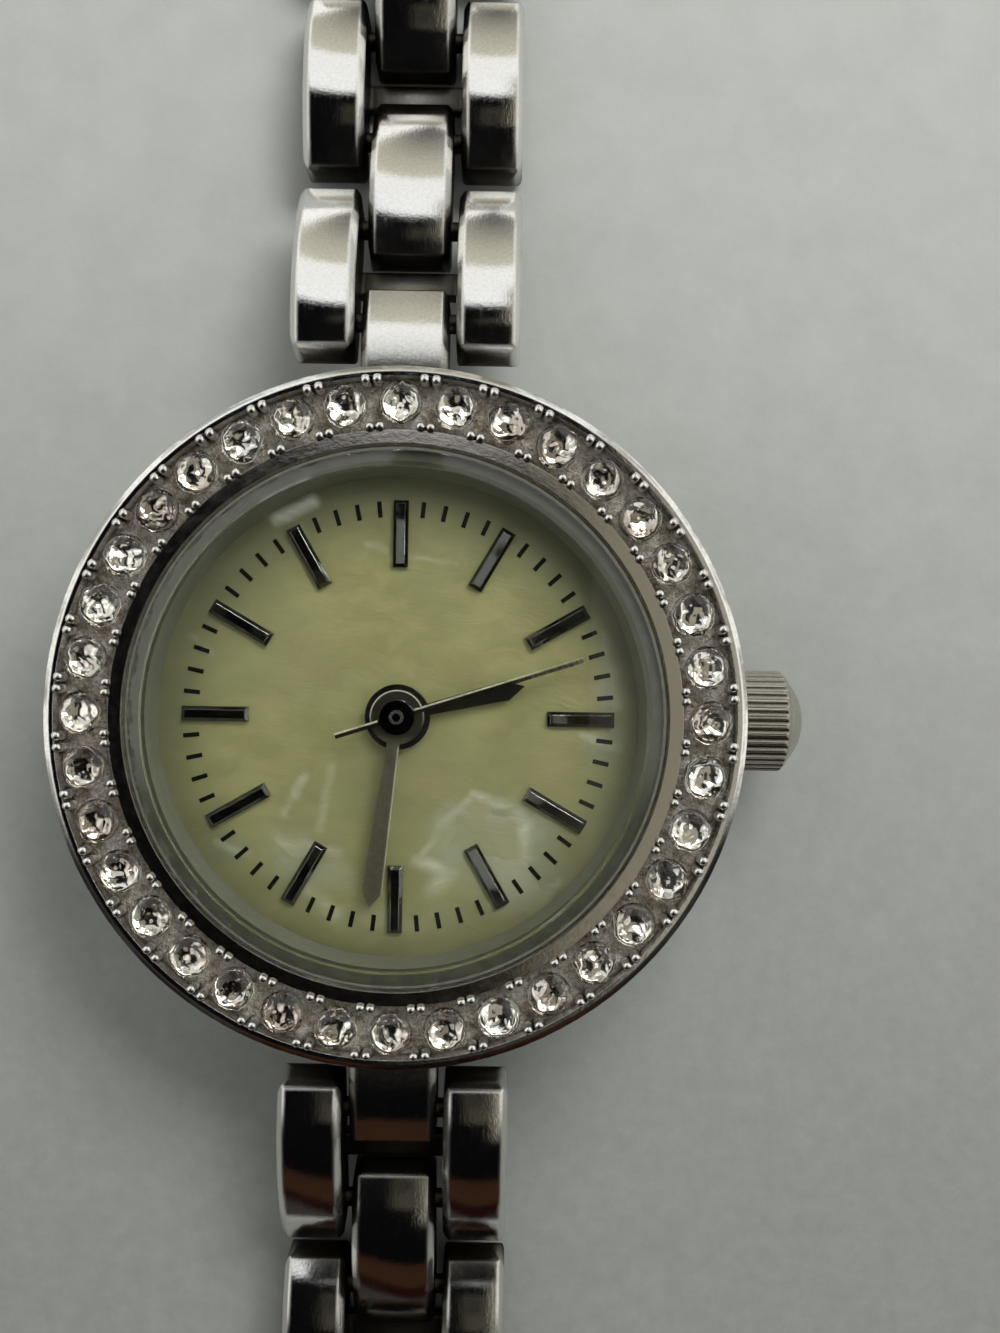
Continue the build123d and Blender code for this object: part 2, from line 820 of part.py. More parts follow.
def centre_link():
    """A centre link with a running bore at each end."""
    profile = link_profile(centre_pitch, centre_end_radius, centre_crown, centre_dome_radius)
    body = bar(profile, centre_width, 0)
    for place in (0, centre_pitch):
        body = body - Pos(0, place, 0) * cross_rod(link_pin_radius + link_pin_fit, centre_width + overrun)
    return solids_of(body)


def knuckle(width, length, thickness):
    """The link-like end of a clasp piece, with its running bore."""
    arm = Pos(length / 2, thickness / 2 - link_drop) * Rectangle(length, thickness)
    band = Rectangle(2 * length, 2 * link_drop)
    profile = (Circle(centre_end_radius) + arm) & band
    body = extrude(Plane.YZ * profile, width / 2, both=True)
    return body - cross_rod(link_pin_radius + link_pin_fit, width + overrun)


# Clasp: a base with a hook, a cover hinged on it, and a catch with a window


def clasp_ears():
    ear = cross_rod(clasp_ear_radius, clasp_ear_width)
    stalk = Pos(0, 0, -(clasp_hinge_height + link_drop) / 2) * Box(
        clasp_ear_width, 2 * clasp_ear_radius, clasp_hinge_height + link_drop
    )
    offset = clasp_width / 2 - clasp_wall - clasp_plate_gap - clasp_ear_width / 2
    return [Pos(x, clasp_hinge_place, clasp_hinge_height) * (ear + stalk) for x in (-offset, offset)]


def hook():
    """An upright post with a lip that points back to the hinge."""
    top = hook_height
    post = block(
        (-hook_width / 2, hook_place, -link_drop), (hook_width / 2, hook_place + hook_length, top)
    )
    lip = block(
        (-hook_width / 2, hook_place - hook_lip, top - hook_lip_thickness), (hook_width / 2, hook_place, top)
    )
    return post + lip


def clasp_base():
    half = clasp_width / 2 - clasp_wall - clasp_plate_gap
    end = clasp_length - clasp_wall - clasp_plate_gap
    plate = block((-half, clasp_plate_start, -link_drop), (half, end, clasp_plate_thickness - link_drop))
    tongue = knuckle(centre_width, tongue_length, tongue_thickness)
    ears = clasp_ears()
    body = plate + tongue + hook() + ears[0] + ears[1]
    hinge = Pos(0, clasp_hinge_place, clasp_hinge_height)
    body = body - hinge * cross_rod(clasp_pin_radius, clasp_width + overrun)
    body = body - tongue_relief()
    pin = hinge * cross_rod(clasp_pin_radius, clasp_width)
    return solids_of(body) + solids_of(pin)


def tongue_relief():
    """Room round the hinge pin where it passes the tongue."""
    wide = centre_width + overrun
    return Pos(0, clasp_hinge_place, clasp_hinge_height) * cross_rod(clasp_pin_radius + link_pin_fit, wide)


def clasp_cover():
    """A shallow lid that closes over the base, open where the catch comes in."""
    half = clasp_width / 2
    start = clasp_hinge_place - clasp_pin_radius - clasp_eye_wall
    top = clasp_height
    shell = block((-half, start, -clasp_skirt), (half, clasp_length, top))
    top_edges = shell.faces().sort_by(Axis.Z)[-1].edges().filter_by(Axis.Y)
    end_edges = shell.faces().sort_by(Axis.Z)[-1].edges().sort_by(Axis.Y)[-1]
    shell = chamfer(list(top_edges) + [end_edges], clasp_edge)
    hollow = block(
        (-half + clasp_wall, start - overrun, -clasp_skirt - overrun),
        (half - clasp_wall, clasp_length - clasp_wall, top - clasp_wall),
    )
    mouth = block(
        (-clasp_mouth / 2, clasp_length - clasp_wall - overrun, -clasp_skirt - overrun),
        (clasp_mouth / 2, clasp_length + overrun, clasp_skirt),
    )
    notch_half = centre_width / 2 + clasp_notch_gap
    notch = block(
        (-notch_half, start - overrun, -clasp_skirt - overrun),
        (notch_half, clasp_hinge_place + clasp_ear_radius, top + overrun),
    )
    hinge = Pos(0, clasp_hinge_place, clasp_hinge_height)
    running_bore = hinge * cross_rod(clasp_pin_radius + link_pin_fit, clasp_width + overrun)
    return solids_of(shell - hollow - mouth - notch - running_bore)


def catch_link():
    """The other end: a flat tongue whose window drops over the hook."""
    knuckle_part = knuckle(centre_width, tongue_length, tongue_thickness)
    plate = block(
        (-catch_width / 2, clasp_plate_start, -link_drop),
        (catch_width / 2, catch_length, clasp_plate_thickness - link_drop),
    )
    window = block(
        (-catch_window_width / 2, catch_length - catch_bar - catch_window_length, -link_drop - overrun),
        (catch_window_width / 2, catch_length - catch_bar, clasp_plate_thickness),
    )
    return solids_of(knuckle_part + plate - window)


# Where each link lies, from the lug outwards along +Y


def link_slopes():
    """Downward slope of each link: the first few share the drop to the surface."""
    drop = lug_pin_height - flat_pin_height
    pitches = link_pitches()
    return [math.asin(share * drop / pitch) for share, pitch in zip(drop_shares, pitches)]


def link_pitches():
    """Pin spacing of each link in turn: pair, centre, pair and so on."""
    count = 2 * pairs_per_side - 1
    return [pair_pitch if index % 2 == 0 else centre_pitch for index in range(count)]


def link_places():
    """Place of each link's first pin and its slope, and the free end's pin last."""
    slopes = link_slopes()
    along, height = lug_reach, lug_pin_height
    places = []
    for index, pitch in enumerate(link_pitches()):
        slope = slopes[index] if index < len(slopes) else 0
        places.append((along, height, slope))
        along += pitch * math.cos(slope)
        height -= pitch * math.sin(slope)
    places.append((along, height, 0))
    return places


def laid(solids, place, side):
    """Put a link where it lies on the upper (+1) or lower (-1) half of the bracelet."""
    along, height, slope = place
    spot = Pos(0, along, height) * Rot(-math.degrees(slope), 0, 0)
    if side < 0:
        spot = Rot(0, 0, 180) * spot
    return [spot * solid for solid in solids]


def save_bracelet():
    pair, centre = pair_link(), centre_link()
    places = link_places()
    for side, half in ((1, "upper"), (-1, "lower")):
        for index, place in enumerate(places[:-1]):
            number = index // 2 + 1
            kind, solids = ("outer", pair) if index % 2 == 0 else ("centre", centre)
            save(f"{half}_{kind}_link_{number}", laid(solids, place, side))
    save("catch_link", laid(catch_link(), places[-1], 1))
    save("clasp_base", laid(clasp_base(), places[-1], -1))
    save("clasp_cover", laid(clasp_cover(), places[-1], -1))


os.makedirs("parts", exist_ok=True)
save("case_body", make_case_body())
save("case_back", make_case_back())
save("case_back_gasket", make_case_back_gasket())
save("bezel", make_bezel())
save("bezel_stones", make_bezel_stones())
save("crystal", make_crystal())
save("crystal_gasket", make_crystal_gasket())
save("rehaut_ring", make_rehaut_ring())
save("dial", make_dial())
save("hour_markers", make_hour_markers())
save("minute_track", make_minute_track())
save("hour_hand", make_hour_hand())
save("minute_hand", make_minute_hand())
save("second_hand", make_second_hand())
save("movement_plate", make_movement_plate())
save("movement_cover", make_movement_cover())
save("movement_holder", make_movement_holder())
save("battery", make_battery())
save("coil", make_coil())
save("winding_stem", make_winding_stem())
save("setting_lever", make_setting_lever())
save("crown", make_crown())
save("crown_gasket", make_crown_gasket())
save_bracelet()
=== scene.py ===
import math
import random

import bmesh
import bpy
from mathutils import Matrix, Vector


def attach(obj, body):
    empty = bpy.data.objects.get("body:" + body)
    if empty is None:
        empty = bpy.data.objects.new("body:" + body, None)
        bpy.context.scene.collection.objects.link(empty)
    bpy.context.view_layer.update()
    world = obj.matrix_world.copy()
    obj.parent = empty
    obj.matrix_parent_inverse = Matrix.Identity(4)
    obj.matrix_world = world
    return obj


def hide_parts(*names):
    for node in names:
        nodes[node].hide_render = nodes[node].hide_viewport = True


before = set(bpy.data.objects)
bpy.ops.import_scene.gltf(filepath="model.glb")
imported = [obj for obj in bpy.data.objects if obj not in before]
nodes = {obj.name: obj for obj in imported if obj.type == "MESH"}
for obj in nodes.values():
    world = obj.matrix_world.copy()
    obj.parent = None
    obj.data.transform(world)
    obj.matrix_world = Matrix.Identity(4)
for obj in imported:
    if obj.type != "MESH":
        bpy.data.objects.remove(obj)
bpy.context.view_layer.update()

scene = bpy.context.scene
scene.view_settings.view_transform = "Standard"
MM = 0.001
MICRON = 0.000001

# Camera: straight above the watch, with the photograph's crop, distance and slight roll

PHOTO_HEIGHT = 1333
FOCAL_PIXELS = 1412
SENSOR = 36.0
CLIP_START = 0.001
CLIP_END = 10
CAMERA_PLACE = (3.675 * MM, 1.881 * MM, 56.45 * MM)
CAMERA_ROLL = math.radians(0.95)

camera_data = bpy.data.cameras.new("camera")
camera_data.sensor_fit = "VERTICAL"
camera_data.sensor_height = SENSOR
camera_data.lens = SENSOR * FOCAL_PIXELS / PHOTO_HEIGHT
camera_data.clip_start = CLIP_START
camera_data.clip_end = CLIP_END
camera = bpy.data.objects.new("camera", camera_data)
camera.location = CAMERA_PLACE
camera.rotation_euler = (0, 0, CAMERA_ROLL)
scene.collection.objects.link(camera)
scene.camera = camera


# Node building


class Net:
    """A small helper that adds and links nodes in one tree."""

    BEVEL_SAMPLES = 4
    SHADE_SAMPLES = 6

    def __init__(self, tree):
        self.tree = tree
        tree.nodes.clear()

    def put(self, socket, value):
        if isinstance(value, bpy.types.NodeSocket):
            self.tree.links.new(value, socket)
        elif isinstance(value, tuple) and len(value) == 3 and len(socket.default_value) == 4:
            socket.default_value = (*value, 1)
        else:
            socket.default_value = value

    def add(self, kind, inputs=None, **settings):
        node = self.tree.nodes.new(kind)
        for name, value in settings.items():
            setattr(node, name, value)
        for name, value in (inputs or {}).items():
            self.put(node.inputs[name], value)
        return node

    def math(self, operation, *values, clamp=False):
        node = self.add("ShaderNodeMath", operation=operation, use_clamp=clamp)
        for index, value in enumerate(values):
            self.put(node.inputs[index], value)
        return node.outputs[0]

    def times(self, first, second, clamp=False):
        return self.math("MULTIPLY", first, second, clamp=clamp)

    def plus(self, first, second):
        return self.math("ADD", first, second)

    def minus(self, first, second):
        return self.math("SUBTRACT", first, second)

    def absolute(self, value):
        return self.math("ABSOLUTE", value)

    def highest(self, values):
        top = None
        for value in values:
            top = value if top is None else self.math("MAXIMUM", top, value)
        return top

    def vector(self, operation, *values):
        node = self.add("ShaderNodeVectorMath", operation=operation)
        for index, value in enumerate(values):
            self.put(node.inputs[index], value)
        return node.outputs["Value"] if operation in ("LENGTH", "DOT_PRODUCT") else node.outputs[0]

    def length(self, vector):
        return self.vector("LENGTH", vector)

    def scaled(self, vector, factors):
        return self.vector("MULTIPLY", vector, factors)

    def place(self):
        """The point on the piece in millimetres, in coordinates that move with it."""
        coordinates = self.add("ShaderNodeTexCoord")
        return self.scaled(coordinates.outputs["Object"], (1 / MM, 1 / MM, 1 / MM))

    def parts(self, vector):
        return self.add("ShaderNodeSeparateXYZ", {0: vector}).outputs[:3]

    def joined(self, x, y, z):
        return self.add("ShaderNodeCombineXYZ", {0: x, 1: y, 2: z}).outputs[0]

    def noise(self, vector, scale=1.0, detail=2.0, roughness=0.5, output=0):
        """Soft noise: output 0 is its value and output 1 its colour."""
        inputs = {"Vector": vector, "Scale": scale, "Detail": detail, "Roughness": roughness}
        return self.add("ShaderNodeTexNoise", inputs).outputs[output]

    def cells(self, vector, output, **settings):
        node = self.add("ShaderNodeTexVoronoi", {"Vector": vector, "Scale": 1.0}, **settings)
        return node.outputs[output]

    def span(self, value, low, high, to_low=0.0, to_high=1.0, smooth=False):
        kind = "SMOOTHSTEP" if smooth else "LINEAR"
        node = self.add("ShaderNodeMapRange", interpolation_type=kind)
        for index, item in enumerate((value, low, high, to_low, to_high)):
            self.put(node.inputs[index], item)
        return node.outputs[0]

    def ramp(self, value, stops):
        """A colour ramp from pairs of position and colour or grey."""
        node = self.add("ShaderNodeValToRGB", {0: value})
        ramp = node.color_ramp
        while len(ramp.elements) < len(stops):
            ramp.elements.new(0.5)
        for element, (position, colour) in zip(ramp.elements, stops):
            element.position = position
            colour = colour if isinstance(colour, tuple) else (colour, colour, colour)
            element.color = (*colour, 1)
        return node.outputs[0]

    def mix(self, factor, first, second):
        node = self.add("ShaderNodeMix", data_type="RGBA")
        self.put(node.inputs[0], factor)
        self.put(node.inputs[6], first)
        self.put(node.inputs[7], second)
        return node.outputs[2]

    def mottled(self, pattern, first, second):
        """Two colours that follow a noise pattern over its usual range."""
        return self.mix(self.span(pattern, 0.3, 0.7), first, second)

    def bump(self, height, distance, strength=1.0, normal=None):
        inputs = {"Height": height, "Distance": distance, "Strength": strength}
        if normal is not None:
            inputs["Normal"] = normal
        return self.add("ShaderNodeBump", inputs).outputs[0]

    def rounded(self, radius):
        """A normal that rounds sharp edges, as the polishing wheel does."""
        inputs = {"Radius": radius}
        return self.add("ShaderNodeBevel", inputs, samples=self.BEVEL_SAMPLES).outputs[0]

    def open_share(self, distance):
        """1 on open surfaces, lower where other surfaces stand close."""
        inputs = {"Distance": distance}
        node = self.add("ShaderNodeAmbientOcclusion", inputs, samples=self.SHADE_SAMPLES)
        return node.outputs["AO"]

    def ray(self, kind):
        return self.add("ShaderNodeLightPath").outputs[kind]

    def emission(self, colour):
        return self.add("ShaderNodeEmission", {"Color": colour, "Strength": 1.0}).outputs[0]

    def either(self, factor, first, second):
        """The first shader where the factor is 0 and the second where it is 1."""
        mixer = self.add("ShaderNodeMixShader")
        for index, value in enumerate((factor, first, second)):
            self.put(mixer.inputs[index], value)
        return mixer.outputs[0]

    def principled(self, **inputs):
        node = self.add("ShaderNodeBsdfPrincipled")
        for name, value in inputs.items():
            self.put(node.inputs[name.replace("_", " ")], value)
        return node.outputs[0]

    def surface(self, tone, roughness, normal, metallic=0.0, **more):
        """Finish the tree with an opaque surface."""
        shader = self.principled(
            Base_Color=tone, Roughness=roughness, Normal=normal, Metallic=metallic, **more
        )
        self.finish(shader)

    def finish(self, shader, kind="ShaderNodeOutputMaterial"):
        self.tree.links.new(shader, self.add(kind).inputs[0])


def material(name):
    made = bpy.data.materials.new(name)
    made.use_nodes = True
    return made, Net(made.node_tree)


def dress(made, *names):
    """Give CAD nodes a material through their object's slots."""
    for name in names:
        node = nodes[name]
        if not node.material_slots:
            node.data.materials.append(made)
        for slot in node.material_slots:
            slot.material = made


# Floor: paper with a painted light falloff, darker toward the lower end of the watch and paler
# away from it, fading into haze far off

FLOOR_SIZE = 4
FLOOR_PAINTED_LIGHT = (0.5, 0.516, 0.492)
FLOOR_PAINTED_SHADE = (0.27, 0.285, 0.262)
FIBRE_TONE = (0.62, 0.64, 0.61)
PIT_TONE = (0.2, 0.2, 0.19)
PAINTED_REFLECTION_LOW_END = (0.022, 0.008, 0.006)
PAINTED_REFLECTION_HIGH_END = (0.24, 0.24, 0.225)
BRACELET_SIDE = (4.3, 5.2)
BRACELET_REACH = 95
HAZE_FROM, HAZE_TO, HAZE_MOST = 60, 520, 0.95
HAZE_TONES = (0.56, 0.58, 0.556), (0.6, 0.62, 0.596)

made, net = material("paper_floor")
at = net.place()
x, y = net.parts(at)[:2]
# Painted shade: the paper's colour darkens toward the lower end of the watch, standing in for the
# fall of the window light
depth = net.span(y, -26, 32, smooth=True)
depth = net.math("MAXIMUM", depth, net.span(y, -36, -100, 0.0, 0.75, smooth=True))
tone = net.mix(depth, FLOOR_PAINTED_SHADE, FLOOR_PAINTED_LIGHT)
fibre = net.noise(at, 1.4, 5, 0.62)
tone = net.mix(net.span(fibre, 0.3, 0.7, 0.0, 0.12), tone, FIBRE_TONE)
pits = net.noise(at, 0.45, 3)
tone = net.mix(net.span(pits, 0.35, 0.65, 0.1, 0.0), tone, PIT_TONE)

# Painted reflection: polished metal alone sees a painted dark strip under the bracelet, darkest
# and reddish toward the low end
painted_reflection = net.mix(net.span(y, -12, 8, smooth=True), PAINTED_REFLECTION_LOW_END, PAINTED_REFLECTION_HIGH_END)
painted_reflection_strip = net.times(net.span(net.absolute(x), *BRACELET_SIDE, 1.0, 0.0), net.ray("Is Glossy Ray"))
tone = net.mix(painted_reflection_strip, tone, painted_reflection)
grain = net.plus(net.noise(at, 2.6, 4, 0.6), net.noise(at, 0.8))
paper = net.principled(Base_Color=tone, Roughness=0.8, Normal=net.bump(grain, 30 * MICRON, 0.5))
past_end = net.math("MAXIMUM", net.minus(net.absolute(y), BRACELET_REACH), 0.0)
away = net.length(net.joined(x, past_end, 0))
haze = net.span(away, HAZE_FROM, HAZE_TO, 0.0, HAZE_MOST, smooth=True)
haze = net.times(haze, net.ray("Is Camera Ray"))
net.finish(net.either(haze, paper, net.emission(net.mottled(fibre, *HAZE_TONES))))
bpy.ops.mesh.primitive_plane_add(size=FLOOR_SIZE)
floor = bpy.context.object
floor.name = "floor"
floor.data.materials.append(made)


# Surroundings: dark ahead, with a bright window beyond 12 and a low reddish edge toward 6

DEGREE = math.pi / 180
BAND_CURVE = 0.018
BAND_STOPS = (
    (-88, (0.012, 0.003, 0.002)),
    (-81, (0.014, 0.004, 0.003)),
    (-79, (0.004, 0.002, 0.002)),
    (-76, (0.034, 0.016, 0.007)),
    (-58, (0.03, 0.013, 0.008)),
    (-54, (0.0015, 0.0015, 0.0015)),
    (14, (0.003, 0.003, 0.0035)),
    (17, (1.02, 1.03, 1.04)),
    (41, (1.0, 1.0, 0.97)),
    (44, (0.62, 0.6, 0.5)),
    (56, (0.5, 0.48, 0.4)),
    (78, (0.17, 0.165, 0.155)),
)
OPENING_LENGTH, OPENING_WIDTH = 7, 1.6
OPENING_MIDDLE = (0.012, 0.012, 0.01)
OPENING_TONE = (0.05, 0.047, 0.034)
RIGHT_CARD = (0.36, 0.34, 0.28)
WALL_LOW = (0.035, 0.032, 0.03)
WALL_MIDDLE = (1.0, 0.99, 0.93)
WALL_HIGH = (1.1, 1.1, 1.06)
ROOM_LIGHT = (0.32, 0.32, 0.315)
BACKDROP = (0.62, 0.64, 0.615)

world = bpy.data.worlds.new("studio")
scene.world = world
world.use_nodes = True
net = Net(world.node_tree)
x, y, z = net.parts(net.add("ShaderNodeTexCoord").outputs["Generated"])
aside = net.math("DIVIDE", net.math("ARCTAN2", x, z), DEGREE)
sides = net.absolute(aside)
curve = net.times(net.math("POWER", sides, 2.0), BAND_CURVE)
along = net.minus(net.math("DIVIDE", net.math("ARCTAN2", y, z), DEGREE), curve)
band = net.ramp(
    net.span(along, -90, 90),
    [((degrees + 90) / 180, colour) for degrees, colour in BAND_STOPS],
)

# A pale opening in the dark part, with a darker middle
opening = net.times(net.span(along, -17, -15), net.span(along, 8, 6))
opening = net.times(opening, net.span(sides, 4.2, 3.4))
middle = net.joined(
    net.math("DIVIDE", along, OPENING_LENGTH), net.math("DIVIDE", aside, OPENING_WIDTH), 0
)
middle = net.span(net.length(middle), 0.7, 1.0, smooth=True)
band = net.mix(opening, band, net.mix(middle, OPENING_MIDDLE, OPENING_TONE))
right_card = net.times(net.span(aside, 4.5, 6.5), net.span(net.absolute(along), 30, 22))
band = net.mix(right_card, band, RIGHT_CARD)
level = net.math("MAXIMUM", net.length(net.joined(x, y, 0)), 0.001)
heading = net.math("DIVIDE", y, level)
wall = net.mix(net.span(heading, -0.45, -0.12, smooth=True), WALL_LOW, WALL_MIDDLE)
wall = net.mix(net.span(heading, 0.3, 0.9, smooth=True), wall, WALL_HIGH)
view_tone = net.mix(net.span(sides, 30, 42, smooth=True), band, wall)
is_seen = net.math("MAXIMUM", net.ray("Is Glossy Ray"), net.ray("Is Transmission Ray"))
tone = net.mix(is_seen, ROOM_LIGHT, view_tone)
tone = net.mix(net.ray("Is Camera Ray"), tone, BACKDROP)
background = net.add("ShaderNodeBackground", {"Color": tone, "Strength": 1.0}).outputs[0]
net.finish(background, "ShaderNodeOutputWorld")


def lamp(name, place, width, depth, power, colour=(1, 1, 1)):
    """A soft rectangle of light that faces the head of the watch."""
    data = bpy.data.lights.new(name, "AREA")
    data.shape = "RECTANGLE"
    data.size = width
    data.size_y = depth
    data.energy = power
    data.color = colour
    made_lamp = bpy.data.objects.new(name, data)
    made_lamp.location = place
    made_lamp.rotation_euler = (-Vector(place)).to_track_quat("-Z", "Y").to_euler()
    made_lamp.visible_glossy = False
    scene.collection.objects.link(made_lamp)


lamp("window", (0.1, 0.15, 0.19), 0.16, 0.1, 0.49, (1.0, 0.995, 0.97))
lamp("fill", (-0.2, -0.05, 0.22), 0.2, 0.2, 0.085)
lamp("far_fill", (0.2, -0.12, 0.2), 0.16, 0.16, 0.085)

# A dark card above the head, seen in polished metal alone

CARD_PLACE = (0, 6 * MM, 58 * MM)
CARD_SIZE = (25 * MM, 24 * MM, 1)

made, net = material("dark_card")
mottle = net.noise(net.place(), 0.1)
net.finish(net.emission(net.mottled(mottle, (0.003, 0.003, 0.0035), (0.005, 0.0045, 0.004))))
bpy.ops.mesh.primitive_plane_add(size=1, location=CARD_PLACE)
card = bpy.context.object
card.name = "dark_card"
card.scale = CARD_SIZE
card.data.materials.append(made)
card.visible_camera = False
card.visible_diffuse = False
card.visible_transmission = False
card.visible_shadow = False


# Metals

CHROME = (0.85, 0.845, 0.82)
CHROME_PIT = (0.55, 0.52, 0.47)
END_FACE_PAINTED_SHADE = (0.1, 0.097, 0.08)
GRIME_AND_SHADE = (0.07, 0.066, 0.05)
LINK_GAP = 1.7
OUTER_BAR = 3.04
BAR_CROWN = 7.0


def chrome(name, grain, crowned=False):
    """Polished plate with fine scratches, pits, softened edges, and grime with painted shade in
    its gaps.
    """
    made, net = material(name)
    at = net.place()
    streaks = net.noise(net.scaled(at, grain), 1.0, 4, 0.6)
    pits = net.noise(at, 9.0, 3, 0.65)
    waves = net.noise(at, 0.55)
    height = net.plus(net.times(streaks, 0.35), net.times(pits, 0.5))
    height = net.plus(height, net.times(waves, 2.2))
    if crowned:
        across = net.absolute(net.parts(at)[0])
        middle = net.times(net.math("GREATER_THAN", across, LINK_GAP), OUTER_BAR)
        away = net.minus(across, middle)
        height = net.minus(height, net.times(net.times(away, away), BAR_CROWN))
    normal = net.bump(height, 4.5 * MICRON, 1.0, net.rounded(0.18 * MM))
    roughness = net.plus(0.05, net.span(streaks, 0.45, 0.75, 0.0, 0.09))
    tone = net.mix(net.span(pits, 0.35, 0.62, 0.22, 0.0), CHROME, CHROME_PIT)
    if crowned:
        # Painted shade: link faces turned along the bracelet get a dark colour, standing in for
        # the dark they mirror
        own_normal = net.add("ShaderNodeTexCoord").outputs["Normal"]
        facing = net.span(net.absolute(net.parts(own_normal)[1]), 0.8, 0.9)
        end_face_shade = net.times(facing, net.span(pits, 0.3, 0.6, 1.0, 0.8))
        tone = net.mix(end_face_shade, tone, END_FACE_PAINTED_SHADE)
        roughness = net.plus(roughness, net.times(end_face_shade, 0.12))
    # Grime and painted shade: surfaces that other parts stand close to are darkened
    uneven = net.plus(net.open_share(1.8 * MM), net.times(pits, 0.1))
    grime_and_shade = net.span(uneven, 0.66, 0.97, 1.0, 0.0)
    tone = net.mix(grime_and_shade, tone, GRIME_AND_SHADE)
    roughness = net.plus(roughness, net.times(grime_and_shade, 0.3))
    net.surface(tone, roughness, normal, metallic=1.0)
    return made


links = [name for name in nodes if "link" in name] + ["clasp_base", "clasp_cover"]
dress(chrome("link_chrome", (14, 1.6, 6), crowned=True), *links)
dress(chrome("case_chrome", (5, 5, 5)), "case_body")

# Case back: steel, turned on a lathe
BACK_LIGHT = (0.62, 0.62, 0.6)
BACK_DARK = tuple(channel * 0.78 for channel in BACK_LIGHT)

made, net = material("back_steel")
x, y, z = net.parts(net.place())
radius = net.length(net.joined(x, y, 0))
around = net.math("ARCTAN2", y, x)
lines = net.noise(net.joined(net.times(radius, 26), net.times(around, 3), z), 1.0, 4, 0.65)
tone = net.mottled(lines, BACK_LIGHT, BACK_DARK)
normal = net.bump(lines, 4 * MICRON, 1.0, net.rounded(0.05 * MM))
net.surface(tone, net.span(lines, 0.3, 0.7, 0.24, 0.375), normal, metallic=1.0)
dress(made, "case_back")


# Bezel: polished rims, and a duller, stained channel between the stones

BEZEL_TOP = 6.45
CHANNEL_INSIDE = (10.22, 10.28)
CHANNEL_OUTSIDE = (12.15, 12.09)
LAND_RADIUS = 10.24
OUTER_RIM_SPAN = (12.33, 12.4)
RIM_TONE = (0.88, 0.88, 0.86)
RIM_PIT = (0.5, 0.47, 0.43)
LAND_TONE = (0.56, 0.53, 0.47)
OUTER_RIM_PAINTED_DARK = (0.2, 0.195, 0.18)
SEAT_PAINTED_SHADE = (0.05, 0.042, 0.03)
STAIN_STOPS = (
    (0.3, (0.34, 0.28, 0.21)),
    (0.44, (0.68, 0.6, 0.5)),
    (0.55, (0.92, 0.87, 0.79)),
    (0.68, (0.98, 0.96, 0.92)),
)
CRUMB_HEIGHT = 52

made, net = material("bezel_chrome")
at = net.place()
x, y, z = net.parts(at)
radius = net.length(net.joined(x, y, 0))
pits = net.noise(at, 7.0, 4, 0.65)
in_channel = net.times(net.span(radius, *CHANNEL_INSIDE), net.span(radius, *CHANNEL_OUTSIDE))
low = net.times(in_channel, net.span(z, BEZEL_TOP - 0.5, BEZEL_TOP - 0.12, 1.0, 0.0))
polish = net.mix(net.span(pits, 0.35, 0.6, 0.25, 0.0), RIM_TONE, RIM_PIT)
on_land = net.math("LESS_THAN", radius, LAND_RADIUS)
polish = net.mix(on_land, polish, LAND_TONE)
tone = net.mix(low, polish, net.ramp(net.noise(at, 2.2, 4, 0.65), STAIN_STOPS))
# Painted reflection: dark patches painted on the outer rim stand in for the dark surroundings it
# mirrors
patches = net.noise(net.scaled(at, (1, 1, 8)), 0.5, 3, 0.6)
outer_rim_painted_dark = net.times(net.span(radius, *OUTER_RIM_SPAN), net.span(patches, 0.4, 0.56))
tone = net.mix(net.times(outer_rim_painted_dark, 0.75), tone, OUTER_RIM_PAINTED_DARK)
# Painted shade: the channel is darkened where the stones stand close around it
seat = net.times(in_channel, net.span(net.open_share(0.7 * MM), 0.15, 0.48, 1.0, 0.0))
tone = net.mix(seat, tone, SEAT_PAINTED_SHADE)
around = net.times(net.math("ARCTAN2", y, x), 26)
scuffs = net.noise(net.joined(net.times(radius, 4), around, z), 1.0, 4, 0.6)
crumbs = net.noise(at, 5.0, 3, 0.6)
height = net.plus(net.times(pits, 0.35), net.times(scuffs, 0.5))
height = net.plus(height, net.times(net.times(crumbs, low), CRUMB_HEIGHT))
normal = net.bump(height, 6 * MICRON, 1.0, net.rounded(0.05 * MM))
roughness = net.plus(net.times(in_channel, 0.05), net.span(scuffs, 0.4, 0.7, 0.05, 0.12))
roughness = net.plus(roughness, net.times(on_land, 0.07))
dull = net.times(low, net.span(crumbs, 0.35, 0.6, 0.2, 0.6))
net.surface(tone, roughness, normal, metallic=net.minus(1.0, dull))
dress(made, "bezel")


# Stones: cut glass over a foil

STONE_COUNT = 36
STONE_CIRCLE = 11.185
STONE_RADIUS = 0.79
STONE_TOP = BEZEL_TOP + 0.28
STONE_GIRDLE = BEZEL_TOP - 0.02
FOIL_TIP = STONE_GIRDLE - 0.165
CUT = 8
MOST_LEAN = math.radians(5)

# Radius, height, points and turn in steps, from the table down to the foil
STONE_ROWS = (
    (0.4, STONE_TOP, CUT, 0.0),
    (0.61, STONE_TOP - 0.14, CUT, 0.5),
    (STONE_RADIUS, STONE_GIRDLE, 2 * CUT, 0.0),
    (STONE_RADIUS, STONE_GIRDLE - 0.05, 2 * CUT, 0.0),
    (0.54, STONE_GIRDLE - 0.12, 2 * CUT, 0.0),
    (0.27, STONE_GIRDLE - 0.155, 2 * CUT, 0.0),
)


def ring_points(radius, height, count, turn):
    return [
        Vector((radius * math.cos(a), radius * math.sin(a), height))
        for a in (2 * math.pi * (index + turn) / count for index in range(count))
    ]


